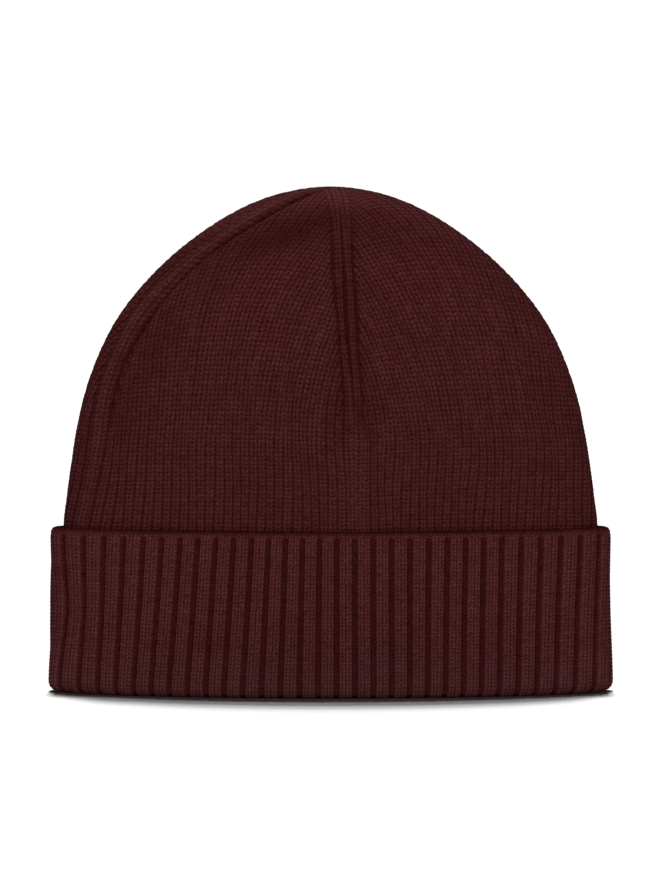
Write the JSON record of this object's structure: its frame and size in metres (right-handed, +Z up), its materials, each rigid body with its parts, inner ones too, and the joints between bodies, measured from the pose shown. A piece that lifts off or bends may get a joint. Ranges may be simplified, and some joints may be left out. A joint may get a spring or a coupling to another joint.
{
  "type": "beanie",
  "caption": "Knitted beanie with a plain-knit dome closed by darts and a turned-up ribbed cuff, hollow and open below.",
  "frame": {"origin": "centre of the base, on the surface that the hat stands on", "axes": "+Z up through the top of the crown, -Y out of the front, +X to the right of the front view, along the hat's width"},
  "size_m": [0.2252, 0.1048, 0.202],
  "materials": {
    "crown_knit": "matt burgundy plain knit, wales about 3.2 mm apart",
    "cuff_knit": "matt burgundy knit in ribs about 7 mm apart, with a smooth cast-on edge"
  },
  "bodies": {
    "root": {"crown": "crown_knit", "cuff": "cuff_knit"}
  },
  "joints": []
}
